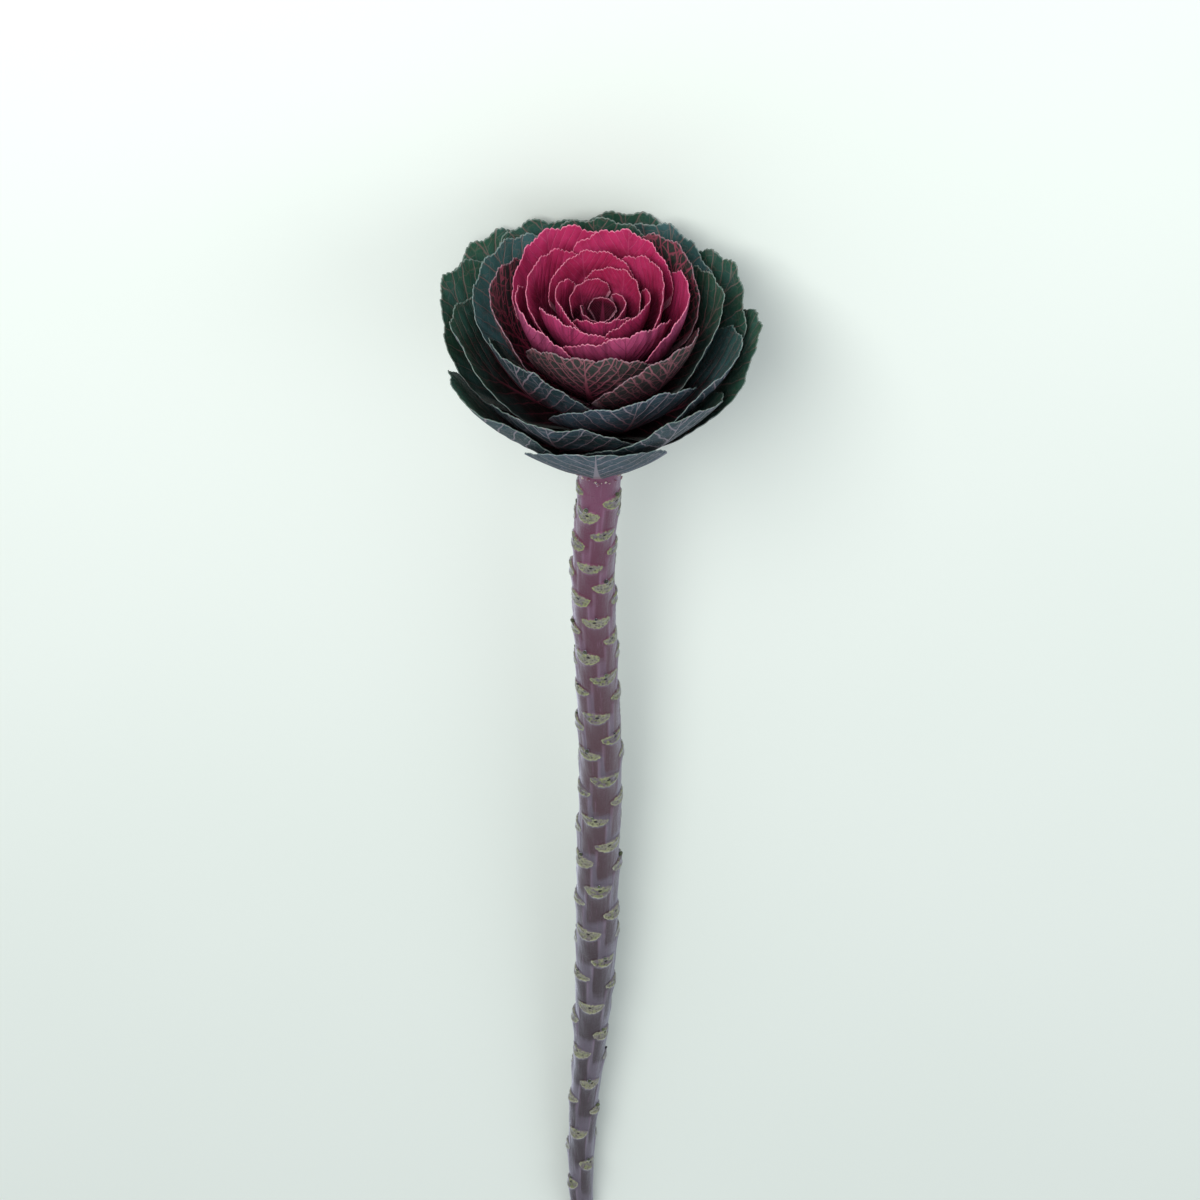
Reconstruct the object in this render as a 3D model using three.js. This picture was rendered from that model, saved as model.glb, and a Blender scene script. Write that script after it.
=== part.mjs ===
// A cut flower kale: one scarred stalk with a rose-shaped head of waved leaves.
// It lies on a level surface: the head faces -Y, the stalk runs to +Y and Z points up.
// Lengths are in millimetres and angles in degrees unless a name says otherwise.
import * as THREE from 'three';

// Sizes of the stalk
const STALK_LENGTH = 536;
const CORE_HEIGHT = 79;
const KEY_SPACING = 67;
const STALK_RADII = [8.5, 8.65, 8.8, 9, 9.15, 8.85, 7.05, 6.05, 5.3];
const STALK_SWAY = [0, 3.2, 1.8, 0.2, 1.4, 2.3, 5.2, 8.9, 9.1];
const CORE_RADII = [8.5, 8.2, 7.4, 6.2, 4.6, 2.4];
const STALK_SIDES = 12;

// Sizes of the leaf scars and of the ridges that run down from them
const SCAR_COUNT = 86;
const FIRST_SCAR = 12;
const SCAR_STEP_TOP = 3.6;
const SCAR_STEP_CUT = 8.9;
const SCAR_LEDGE = 1.6;
const SCAR_HALF_ANGLE = 34;
const RIDGE_HEIGHT = 0.35;

// How the plant lies
const TILT = 5.269;
const JOINT = [0, -214.33, 54.4];
const FLOOR_SOFTNESS = 3;
const FLOOR_STEP = 1.4;
const LOWEST_LEAF = 4;
const HEAD_LEAN = 3.4;

// How the leaves follow each other round the core
const LEAF_COUNT = 40;
const GOLDEN_ANGLE = 137.508;
const FIRST_AZIMUTH = 181;
// The lowest leaf stands this many degrees off the spiral
const LOWEST_TURN = 4;
const LOWEST_BASE = 5;
const HIGHEST_BASE = 76;

// Leaf sizes from the outermost leaf to the innermost one, read between these leaf numbers
const LEAF_KEYS = [0, 1, 3, 9, 13, 17, 22, 26, 30, 35, 39];
const RIM_RADII = [69.5, 68.5, 67.8, 62.5, 54.5, 46.5, 38, 31, 22, 12, 4.8];
const RIM_HEIGHTS = [77, 79, 81.5, 84.5, 90, 96, 102, 102.5, 101, 95, 87];
const HALF_WIDTHS = [29.3, 33, 35, 34.5, 32, 29.5, 29, 27, 22.5, 13.5, 5.3];
const LEAVING_ANGLES = [36, 37, 38, 39, 41, 44, 48, 54, 60, 68, 76];
const ARRIVING_ANGLES = [56, 60, 63, 68, 74, 80, 85, 89, 92, 93, 93];
const WAVE_HEIGHTS = [0.3, 1.4, 1.4, 1.3, 1, 0.8, 0.65, 0.55, 0.45, 0.3, 0.12];
const BLADE_THICKNESS = 0.9;
const MIDRIB_DEPTH = 2.1;
const BASE_GAP = 0.45;

const radians = THREE.MathUtils.degToRad;
const up = new THREE.Vector3(0, Math.sin(radians(TILT)), Math.cos(radians(TILT)));
const ahead = new THREE.Vector3(0, -Math.cos(radians(TILT)), Math.sin(radians(TILT)));

// A fixed number from -1 to 1 for each leaf and use, so that every build gives the same plant
function chance(number, use) {
  const value = Math.sin(number * 12.9898 + use * 78.233) * 43758.5453;
  return 2 * (value - Math.floor(value)) - 1;
}

// The value for a leaf number, in a straight line between the two nearest keys
function betweenKeys(values, number) {
  const place = THREE.MathUtils.clamp(number, 0, LEAF_COUNT - 1);
  let key = 0;
  while (key < LEAF_KEYS.length - 2 && LEAF_KEYS[key + 1] < place) key += 1;
  const share = (place - LEAF_KEYS[key]) / (LEAF_KEYS[key + 1] - LEAF_KEYS[key]);
  return values[key] + (values[key + 1] - values[key]) * share;
}

// A smooth line through evenly spaced values
function smoothLine(values, place) {
  const last = values.length - 1;
  const start = Math.min(Math.max(Math.floor(place), 0), last - 1);
  const f = place - start;
  const a = values[Math.max(start - 1, 0)];
  const b = values[start];
  const c = values[start + 1];
  const d = values[Math.min(start + 2, last)];
  return b + 0.5 * f * (c - a + f * (2 * a - 5 * b + 4 * c - d + f * (3 * (b - c) + d - a)));
}

function coreRadius(height) {
  return smoothLine(CORE_RADII, height / CORE_HEIGHT * (CORE_RADII.length - 1));
}

// A place given by its height above the foot of the head, its distance from the axis and its
// direction round it. Direction 0 is towards the surface that the plant lies on.
function place(height, radius, azimuth, sway = 0) {
  const point = new THREE.Vector3(JOINT[0] + sway, JOINT[1], JOINT[2]);
  point.addScaledVector(ahead, height);
  point.x -= radius * Math.sin(azimuth);
  point.addScaledVector(up, -radius * Math.cos(azimuth));
  return point;
}

// The line of a leaf's middle, from the core outwards and up, as distance and height
function leafProfile(number, along) {
  const base = LOWEST_BASE + (HIGHEST_BASE - LOWEST_BASE) * number / (LEAF_COUNT - 1);
  const leaving = radians(betweenKeys(LEAVING_ANGLES, number));
  const arriving = radians(betweenKeys(ARRIVING_ANGLES, number));
  const start = [coreRadius(base) + BASE_GAP + 0.8 * Math.sin(leaving), base];
  const rim = [betweenKeys(RIM_RADII, number), betweenKeys(RIM_HEIGHTS, number)];
  const chord = Math.hypot(rim[0] - start[0], rim[1] - start[1]);
  const first = [start[0] + 0.38 * chord * Math.cos(leaving), start[1] + 0.38 * chord * Math.sin(leaving)];
  const second = [rim[0] - 0.4 * chord * Math.cos(arriving), rim[1] - 0.4 * chord * Math.sin(arriving)];
  const t = along;
  const s = 1 - t;
  return [0, 1].map((k) => s ** 3 * start[k] + 3 * s * s * t * first[k]
    + 3 * s * t * t * second[k] + t ** 3 * rim[k]);
}

// Presses a height down onto a level, with a soft turn just above it
function pressedOn(height, level) {
  const over = height - level;
  if (over <= -FLOOR_SOFTNESS) return level;
  if (over >= FLOOR_SOFTNESS) return height;
  return level + (over + FLOOR_SOFTNESS) ** 2 / (4 * FLOOR_SOFTNESS);
}

// The middle surface of a leaf: how far along the blade, and how far to the side
function leafSurface(leaf, along, side) {
  const share = side / leaf.halfWidth;
  const edge = Math.min(Math.hypot(share, Math.max(along - 0.3, 0) / 0.7), 1.15);
  const turn = Math.atan2(share, along - 0.15);
  const wave = leaf.wave * edge ** 3 * (0.75 * Math.sin(5 * turn + leaf.phase)
    + 0.25 * Math.sin(9 * turn + 2.3 * leaf.phase));
  const number = leaf.number + leaf.lean * along;
  const here = leafProfile(number, along);
  const next = leafProfile(number, along + 0.01);
  const step = Math.hypot(next[0] - here[0], next[1] - here[1]);
  const radius = here[0] + wave * (next[1] - here[1]) / step;
  const height = here[1] - wave * (next[0] - here[0]) / step;
  const azimuth = leaf.azimuth + leaf.twist * along + side / here[0];
  const lean = HEAD_LEAN * along * Math.max(1 - number / 30, 0);
  const point = place(height, radius, azimuth, lean);
  point.z = pressedOn(point.z, leaf.floor);
  return point;
}

// The blade's outline: a narrow foot, a wide fan and a broad rounded rim with shallow scallops
function outline(leaf, rise, turn) {
  const fullness = leaf.shoulder + (1 - leaf.shoulder) * Math.max(Math.cos(turn), 0) ** 0.7;
  const scallop = 1 + 0.012 * Math.sin(14 * turn + leaf.phase) * rise ** 2;
  const width = 0.3 + 0.7 * rise ** 1.4;
  return [rise * fullness * scallop, leaf.halfWidth * width * Math.sin(turn)];
}

// One leaf as a closed blade: the same grid on both faces and a narrow edge between them
function leafGeometry(leaf, rows, columns) {
  const faces = [[], []];
  for (let row = 0; row <= rows; row += 1) {
    for (let column = 0; column <= columns; column += 1) {
      const rise = row / rows;
      const turn = Math.PI * (column / columns - 0.5);
      const [along, side] = outline(leaf, rise, turn);
      const point = leafSurface(leaf, along, side);
      const outwards = leafSurface(leaf, along + 0.004, side).sub(leafSurface(leaf, along - 0.004, side));
      const across = leafSurface(leaf, along, side + 0.1).sub(leafSurface(leaf, along, side - 0.1));
      const normal = outwards.cross(across).normalize();
      const share = Math.sin(turn);
      const rib = leaf.ribDepth * Math.max(1 - along, 0) ** 1.5 * Math.exp(-((share / 0.5) ** 2));
      faces[0].push(point.clone().addScaledVector(normal, leaf.thickness / 2 + rib));
      faces[1].push(point.clone().addScaledVector(normal, -leaf.thickness / 2));
    }
  }
  const wide = columns + 1;
  const count = wide * (rows + 1);
  const index = [];
  const quad = (a, b, c, d) => index.push(a, b, c, a, c, d);
  for (let row = 0; row < rows; row += 1) {
    for (let column = 0; column < columns; column += 1) {
      const a = row * wide + column;
      const b = a + 1;
      const c = a + wide + 1;
      const d = a + wide;
      index.push(a, d, c, a, c, b);
      index.push(a + count, c + count, d + count, a + count, b + count, c + count);
    }
  }
  for (let row = 0; row < rows; row += 1) {
    const a = row * wide;
    quad(a, a + count, a + wide + count, a + wide);
    const b = a + columns;
    quad(b, b + wide, b + wide + count, b + count);
  }
  for (let column = 0; column < columns; column += 1) {
    const top = rows * wide + column;
    quad(top, top + count, top + count + 1, top + 1);
    quad(column, column + 1, column + 1 + count, column + count);
  }
  return geometryFrom(faces[0].concat(faces[1]), index);
}

function geometryFrom(points, index) {
  const geometry = new THREE.BufferGeometry();
  geometry.setAttribute('position', new THREE.Float32BufferAttribute(points.flatMap((p) => p.toArray()), 3));
  geometry.setIndex(index);
  geometry.computeVertexNormals();
  return geometry;
}

// Where the leaf scars sit: as distance below the head and direction round the stalk.
// They carry on the spiral of the leaves, closer together near the head.
function scarPlaces() {
  const scars = [];
  let below = FIRST_SCAR;
  for (let number = 0; number < SCAR_COUNT; number += 1) {
    const azimuth = radians(FIRST_AZIMUTH - GOLDEN_ANGLE * (number + 1));
    scars.push({ below, azimuth, size: 1 + 0.2 * chance(number, 7) });
    below += SCAR_STEP_TOP + (SCAR_STEP_CUT - SCAR_STEP_TOP) * below / STALK_LENGTH;
  }
  return scars.filter((scar) => scar.below < STALK_LENGTH - 5);
}

// How far the stalk's bark stands out: each scar is a lip with a ledge above it and a swelling
// below it that fades into a ridge
function barkHeight(scars, below, azimuth) {
  let height = 0;
  for (const scar of scars) {
    const down = below - scar.below;
    if (down < -3 || down > 34) continue;
    const off = Math.atan2(Math.sin(azimuth - scar.azimuth), Math.cos(azimuth - scar.azimuth));
    const across = Math.exp(-((off / radians(SCAR_HALF_ANGLE)) ** 2));
    const lip = down < 0 ? 1 + down / 3 : Math.exp(-down / 7);
    const fade = Math.max(1 - Math.abs(down - 8) / 26, 0);
    const ridge = RIDGE_HEIGHT * Math.exp(-((off / radians(12)) ** 2)) * fade;
    height = Math.max(height, SCAR_LEDGE * scar.size * across * lip + ridge);
  }
  return height;
}

// The stalk from its cut end to the tip of the core, as rings joined by strips
function stalkGeometry() {
  const scars = scarPlaces();
  const heights = [];
  for (let below = STALK_LENGTH - 1.2; below > 0; below -= 3.1 + 0.6 * below / STALK_LENGTH) {
    heights.push(-below);
  }
  for (let height = 2; height < CORE_HEIGHT - 2; height += 9) heights.push(height);
  heights.push(CORE_HEIGHT - 2);
  const rings = [{ height: -STALK_LENGTH, radius: () => STALK_RADII[STALK_RADII.length - 1] - 0.5 }];
  for (const height of heights) {
    const bare = height < 0 ? smoothLine(STALK_RADII, -height / KEY_SPACING) : coreRadius(height);
    const radius = (azimuth) => bare + (height < 0 ? barkHeight(scars, -height, azimuth) : 0);
    rings.push({ height, radius });
  }
  const points = [];
  for (const ring of rings) {
    const sway = ring.height < 0 ? smoothLine(STALK_SWAY, -ring.height / KEY_SPACING) : 0;
    for (let side = 0; side < STALK_SIDES; side += 1) {
      const azimuth = 2 * Math.PI * side / STALK_SIDES;
      points.push(place(ring.height, ring.radius(azimuth), azimuth, sway));
    }
  }
  const index = [];
  for (let ring = 0; ring < rings.length - 1; ring += 1) {
    for (let side = 0; side < STALK_SIDES; side += 1) {
      const a = ring * STALK_SIDES + side;
      const b = ring * STALK_SIDES + (side + 1) % STALK_SIDES;
      index.push(a, a + STALK_SIDES, b + STALK_SIDES, a, b + STALK_SIDES, b);
    }
  }
  const cut = points.length;
  points.push(place(-STALK_LENGTH, 0, 0, STALK_SWAY[STALK_SWAY.length - 1]));
  points.push(place(CORE_HEIGHT, 0, 0));
  const lastRing = (rings.length - 1) * STALK_SIDES;
  for (let side = 0; side < STALK_SIDES; side += 1) {
    const next = (side + 1) % STALK_SIDES;
    index.push(cut, side, next);
    index.push(cut + 1, lastRing + next, lastRing + side);
  }
  return geometryFrom(points, index);
}

const plant = new THREE.Group();

function add(name, geometry, colour, roughness) {
  const material = new THREE.MeshStandardMaterial({ color: colour, roughness, metalness: 0 });
  material.name = name;
  const mesh = new THREE.Mesh(geometry, material);
  mesh.name = name;
  plant.add(mesh);
}

add('stem', stalkGeometry(), 0x7d5a70, 0.6);

// The leaves in the order they grow: green outside, then blush ones, then rose ones to the heart
const KINDS = [
  { name: 'green_leaf', from: 0, rows: 7, columns: 12, colour: 0x2a5c47 },
  { name: 'green_leaf', from: 10, rows: 7, columns: 10, colour: 0x33604f },
  { name: 'blush_leaf', from: 18, rows: 7, columns: 8, colour: 0x4a3a44 },
  { name: 'rose_leaf', from: 22, rows: 6, columns: 8, colour: 0xa93260 },
  { name: 'rose_leaf', from: 31, rows: 5, columns: 6, colour: 0xa3244f },
];
const counts = {};
for (let number = 0; number < LEAF_COUNT; number += 1) {
  const kind = KINDS.filter((one) => one.from <= number).pop();
  const turn = 4 * chance(number, 2) + (number ? 0 : LOWEST_TURN);
  const leaf = {
    number: number + 0.22 * chance(number, 1),
    azimuth: radians(FIRST_AZIMUTH + GOLDEN_ANGLE * number + turn),
    lean: 0.2 * chance(number, 3),
    twist: radians(4 * chance(number, 4)),
    phase: Math.PI * chance(number, 5),
    wave: betweenKeys(WAVE_HEIGHTS, number),
    shoulder: 0.6 + 0.14 * number / (LEAF_COUNT - 1),
    halfWidth: betweenKeys(HALF_WIDTHS, number) * (1 + 0.05 * chance(number, 6)),
    thickness: number < 31 ? BLADE_THICKNESS : 0.75,
    ribDepth: MIDRIB_DEPTH * (1 - 0.85 * number / (LEAF_COUNT - 1)),
    floor: BLADE_THICKNESS / 2 + FLOOR_STEP * Math.max(number - LOWEST_LEAF, 0),
  };
  counts[kind.name] = (counts[kind.name] || 0) + 1;
  const name = `${kind.name}_${String(counts[kind.name]).padStart(2, '0')}`;
  add(name, leafGeometry(leaf, kind.rows, kind.columns), kind.colour, 0.55);
}

export default plant;
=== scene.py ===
"""A cut flower kale lying on its side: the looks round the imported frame.

Each leaf and the stalk are worked out again with the frame's own formulas on finer grids, and get teeth,
quilting, veins, scars and colour. Lengths are in millimetres until a mesh is made, and then in metres.
"""

import math

import bpy
import numpy as np
from mathutils import Matrix, Vector


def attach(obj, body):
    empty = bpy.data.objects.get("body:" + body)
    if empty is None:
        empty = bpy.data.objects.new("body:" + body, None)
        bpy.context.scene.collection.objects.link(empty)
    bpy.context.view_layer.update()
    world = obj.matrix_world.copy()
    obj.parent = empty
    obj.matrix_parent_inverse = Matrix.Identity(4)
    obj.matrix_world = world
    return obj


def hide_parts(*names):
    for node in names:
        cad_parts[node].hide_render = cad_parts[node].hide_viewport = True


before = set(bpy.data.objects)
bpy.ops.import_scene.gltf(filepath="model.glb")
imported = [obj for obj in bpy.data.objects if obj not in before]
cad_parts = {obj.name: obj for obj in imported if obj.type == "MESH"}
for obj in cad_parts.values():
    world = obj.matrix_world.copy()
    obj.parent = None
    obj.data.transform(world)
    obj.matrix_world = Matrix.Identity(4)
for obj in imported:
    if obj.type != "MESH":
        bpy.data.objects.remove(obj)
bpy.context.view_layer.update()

bl_info = {
    "name": "Flower kale looks",
    "version": (1, 0, 0),
    "blender": (4, 5, 0),
    "location": "3D View > Sidebar > Kale",
    "description": "Builds the leaves, the stalk and the studio round the packed kale frame",
    "category": "Object",
}

MM = 0.001

# Sizes of the stalk, as in the frame
STALK_LENGTH = 536
CORE_HEIGHT = 79
KEY_SPACING = 67
STALK_RADII = [8.5, 8.65, 8.8, 9, 9.15, 8.85, 7.05, 6.05, 5.3]
STALK_SWAY = [0, 3.2, 1.8, 0.2, 1.4, 2.3, 5.2, 8.9, 9.1]
CORE_RADII = [8.5, 8.2, 7.4, 6.2, 4.6, 2.4]
CUT_ROUNDING = 0.5

# Leaf scars, as in the frame
SCAR_COUNT = 86
FIRST_SCAR = 12
SCAR_STEP_TOP = 3.6
SCAR_STEP_CUT = 8.9
SCAR_LEDGE = 1.6
SCAR_HALF_ANGLE = 34

# The bark's relief that only the looks have, in degrees: a scar's face is wider than its ledge, and its
# ridges are narrow
SCAR_FACE_EXTRA = 8
RIDGE_HALF_ANGLE = 3.2

# Stubs of torn leaf stalks just under the head: azimuth in degrees, distance below, how far they stand out
TORN_STUBS = [
    (96, 6.4, 3.2), (262, 6.8, 1.2), (272, 10.5, 1.3), (88, 12.5, 1.4), (20, 8.5, 1.1), (320, 9.5, 0.9),
]
COLLAR_SHREDS = 34

# The grid of the stalk's fine surface: points round it, and rings along each part
STALK_SIDES = 80
STALK_RINGS = 880
CORE_RINGS = 23
CUT_RINGS = 12
KNOB_SIDES = 10
KNOB_RINGS = 5

# How the plant lies, as in the frame
TILT = math.radians(5.269)
JOINT = np.array([0, -214.33, 54.4])
UP = np.array([0, math.sin(TILT), math.cos(TILT)])
AHEAD = np.array([0, -math.cos(TILT), math.sin(TILT)])
FLOOR_SOFTNESS = 3
FLOOR_STEP = 1.4
LOWEST_LEAF = 4
HEAD_LEAN = 3.4

# How the leaves follow each other round the core, as in the frame
LEAF_COUNT = 40
GOLDEN_ANGLE = 137.508
FIRST_AZIMUTH = 181
LOWEST_TURN = 4
LOWEST_BASE = 5
HIGHEST_BASE = 76
LEAF_KEYS = [0, 1, 3, 9, 13, 17, 22, 26, 30, 35, 39]
RIM_RADII = [69.5, 68.5, 67.8, 62.5, 54.5, 46.5, 38, 31, 22, 12, 4.8]
RIM_HEIGHTS = [77, 79, 81.5, 84.5, 90, 96, 102, 102.5, 101, 95, 87]
HALF_WIDTHS = [29.3, 33, 35, 34.5, 32, 29.5, 29, 27, 22.5, 13.5, 5.3]
LEAVING_ANGLES = [36, 37, 38, 39, 41, 44, 48, 54, 60, 68, 76]
ARRIVING_ANGLES = [56, 60, 63, 68, 74, 80, 85, 89, 92, 93, 93]
WAVE_HEIGHTS = [0.3, 1.4, 1.4, 1.3, 1, 0.8, 0.65, 0.55, 0.45, 0.3, 0.12]
MIDRIB_DEPTH = 2.1
BASE_GAP = 0.45
BLADE_THICKNESS = 0.9
SMALL_BLADE_THICKNESS = 0.75
FIRST_SMALL_LEAF = 31
AZIMUTH_SPREAD = 4
TWIST_SPREAD = 4

# The leaf relief that only the looks have: a blade thins to its rim, its side veins slant up towards the
# rim, and the outer leaves are quilted less than the others
RIM_HALF_THICKNESS = 0.17
VEIN_SLANT = 1.7
OUTER_LEAVES = 10
OUTER_QUILT = 0.8

# The leaf kinds: where each starts in the order of growth, and the grid of its fine surface
KINDS = [
    {"name": "green_leaf", "first": 0, "rows": 52, "columns": 118, "tooth": 0.9, "veins": 7.5},
    {"name": "blush_leaf", "first": 18, "rows": 50, "columns": 109, "tooth": 1.0, "veins": 9},
    {"name": "rose_leaf", "first": 22, "rows": 38, "columns": 103, "tooth": 1.15, "veins": 10},
]

# The camera, as the photograph was taken
CAMERA_DISTANCE = 2500
HEART_HEIGHT = 92
SIGHT_ANGLE = math.radians(44)
FOCAL_PIXELS = 6188
FRAME_PIXELS = 1200
HEART_PIXEL = (601, 304)
CAMERA_ASIDE = 0.4
SENSOR_WIDTH = 36

# The floor, in metres
FLOOR_HALF = 4
FLOOR_DROP = 0.0002


# ---------------------------------------------------------------- shared formulas


def chance(number, use):
    """A fixed number from -1 to 1: the broken part of a large multiple of a sine."""
    value = math.sin(number * 12.9898 + use * 78.233) * 43758.5453
    return 2 * (value - math.floor(value)) - 1


def between_keys(values, number):
    """The value for a leaf number, in a straight line between the two nearest keys."""
    return np.interp(number, LEAF_KEYS, values)


def smooth_line(values, place):
    """A Catmull-Rom curve through evenly spaced values."""
    values = np.asarray(values, float)
    last = len(values) - 1
    start = np.clip(np.floor(place).astype(int), 0, last - 1)
    f = place - start
    a = values[np.maximum(start - 1, 0)]
    b = values[start]
    c = values[start + 1]
    d = values[np.minimum(start + 2, last)]
    return b + 0.5 * f * (c - a + f * (2 * a - 5 * b + 4 * c - d + f * (3 * (b - c) + d - a)))


def smooth_step(low, high, value):
    """Rises from 0 at low to 1 at high with level ends."""
    share = np.clip((value - low) / (high - low), 0, 1)
    return share * share * (3 - 2 * share)


def core_radius(height):
    """The core's radius at a height above the foot of the head."""
    return smooth_line(CORE_RADII, np.asarray(height) / CORE_HEIGHT * (len(CORE_RADII) - 1))


def place(height, radius, azimuth, sway=0.0):
    """The foot of the head, plus the height along the axis, plus the radius turned by the azimuth.
    Azimuth 0 is towards the floor."""
    height, radius, azimuth = np.broadcast_arrays(height, radius, azimuth)
    point = JOINT + height[..., None] * AHEAD - (radius * np.cos(azimuth))[..., None] * UP
    point[..., 0] += sway - radius * np.sin(azimuth)
    return point


def leaf_profile(number, along):
    """A cubic Bezier curve from the core to the rim, as distance from the axis and height."""
    number, along = np.broadcast_arrays(number, along)
    base = LOWEST_BASE + (HIGHEST_BASE - LOWEST_BASE) * number / (LEAF_COUNT - 1)
    leaving = np.radians(between_keys(LEAVING_ANGLES, number))
    arriving = np.radians(between_keys(ARRIVING_ANGLES, number))
    start = np.stack([core_radius(base) + BASE_GAP + 0.8 * np.sin(leaving), base + 0 * leaving])
    rim = np.stack([between_keys(RIM_RADII, number), between_keys(RIM_HEIGHTS, number)])
    chord = np.hypot(*(rim - start))
    first = start + 0.38 * chord * np.stack([np.cos(leaving), np.sin(leaving)])
    second = rim - 0.4 * chord * np.stack([np.cos(arriving), np.sin(arriving)])
    t = along
    s = 1 - along
    return s**3 * start + 3 * s * s * t * first + 3 * s * t * t * second + t**3 * rim


def pressed_on(height, level):
    """Lowers nothing: heights under the level rise to it, with a parabola as the soft turn."""
    over = height - level
    soft = level + (over + FLOOR_SOFTNESS) ** 2 / (4 * FLOOR_SOFTNESS)
    return np.where(over <= -FLOOR_SOFTNESS, level, np.where(over >= FLOOR_SOFTNESS, height, soft))


def leaf_facts(number):
    """The sizes of one leaf, by its place in the order of growth."""
    thickness = BLADE_THICKNESS if number < FIRST_SMALL_LEAF else SMALL_BLADE_THICKNESS
    turn = AZIMUTH_SPREAD * chance(number, 2) + (LOWEST_TURN if number == 0 else 0)
    return {
        "number": number + 0.22 * chance(number, 1),
        "azimuth": math.radians(FIRST_AZIMUTH + GOLDEN_ANGLE * number + turn),
        "lean": 0.2 * chance(number, 3),
        "twist": math.radians(TWIST_SPREAD * chance(number, 4)),
        "phase": math.pi * chance(number, 5),
        "wave": float(between_keys(WAVE_HEIGHTS, number)),
        "shoulder": 0.6 + 0.14 * number / (LEAF_COUNT - 1),
        "half_width": float(between_keys(HALF_WIDTHS, number)) * (1 + 0.05 * chance(number, 6)),
        "thickness": thickness,
        "rib_depth": MIDRIB_DEPTH * (1 - 0.85 * number / (LEAF_COUNT - 1)),
        "floor": thickness / 2 + FLOOR_STEP * max(number - LOWEST_LEAF, 0),
    }


def leaf_surface(leaf, along, side):
    """The middle surface of a blade: the leaf profile turned about the axis, moved along its own
    normal by two sine waves that grow towards the edge, and pressed onto the floor."""
    share = side / leaf["half_width"]
    edge = np.minimum(np.hypot(share, np.maximum(along - 0.3, 0) / 0.7), 1.15)
    turn = np.arctan2(share, along - 0.15)
    phase = leaf["phase"]
    wave = leaf["wave"] * edge**3 * (0.75 * np.sin(5 * turn + phase) + 0.25 * np.sin(9 * turn + 2.3 * phase))
    number = leaf["number"] + leaf["lean"] * along
    here = leaf_profile(number, along)
    ahead = leaf_profile(number, along + 0.01) - here
    ahead /= np.hypot(*ahead)
    azimuth = leaf["azimuth"] + leaf["twist"] * along + side / here[0]
    lean = HEAD_LEAN * along * np.maximum(1 - number / 30, 0)
    point = place(here[1] - wave * ahead[0], here[0] + wave * ahead[1], azimuth, lean)
    point[..., 2] = pressed_on(point[..., 2], leaf["floor"])
    return point


def foot_width(rise):
    """The blade's width by its rise, as a share of its widest: a narrow foot that opens by a power."""
    return 0.3 + 0.7 * rise**1.4


def outline(leaf, rise, turn):
    """The blade's outline: a narrow foot, a wide fan and a broad rounded rim with shallow scallops."""
    fullness = leaf["shoulder"] + (1 - leaf["shoulder"]) * np.maximum(np.cos(turn), 0) ** 0.7
    scallop = 1 + 0.012 * np.sin(14 * turn + leaf["phase"]) * rise**2
    width = foot_width(rise)
    return rise * fullness * scallop, leaf["half_width"] * width * np.sin(turn)


# ---------------------------------------------------------------- meshes


def grid_quads(rows, columns, first=0, closed=False):
    """Quads of a grid of points laid out row by row, as four corner numbers each."""
    across = columns if closed else columns - 1
    row, column = np.meshgrid(np.arange(rows - 1), np.arange(across), indexing="ij")
    a = row * columns + column
    b = row * columns + (column + 1) % columns
    return np.stack([a, b, b + columns, a + columns], axis=-1).reshape(-1, 4) + first


def make_mesh(name, points, faces, attributes, materials, slots):
    """A mesh object at the origin from points in millimetres, face arrays, point attributes and slots."""
    mesh = bpy.data.meshes.new(name)
    mesh.vertices.add(len(points))
    mesh.vertices.foreach_set("co", (points * MM).astype(np.float32).ravel())
    corners = np.concatenate([part.ravel() for part in faces]).astype(np.int32)
    sizes = np.concatenate([np.full(len(part), part.shape[1]) for part in faces])
    starts = np.concatenate([[0], np.cumsum(sizes)[:-1]]).astype(np.int32)
    mesh.loops.add(len(corners))
    mesh.loops.foreach_set("vertex_index", corners)
    mesh.polygons.add(len(sizes))
    mesh.polygons.foreach_set("loop_start", starts)
    mesh.polygons.foreach_set("material_index", slots.astype(np.int32))
    mesh.polygons.foreach_set("use_smooth", np.ones(len(sizes), bool))
    mesh.update(calc_edges=True)
    for key, values in attributes.items():
        layer = mesh.attributes.new(key, "FLOAT_VECTOR", "POINT")
        layer.data.foreach_set("vector", values.astype(np.float32).ravel())
    for material in materials:
        mesh.materials.append(material)
    piece = bpy.data.objects.new(name, mesh)
    bpy.context.scene.collection.objects.link(piece)
    return piece


def kind_of(number):
    """The kind that a leaf belongs to, by its place in the order of growth."""
    return [kind for kind in KINDS if kind["first"] <= number][-1]


def blade_length(leaf):
    """The length of the leaf's middle line, summed over short steps."""
    line = leaf_profile(leaf["number"], np.linspace(0, 1, 60))
    return float(np.hypot(*np.diff(line, axis=1)).sum())


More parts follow.
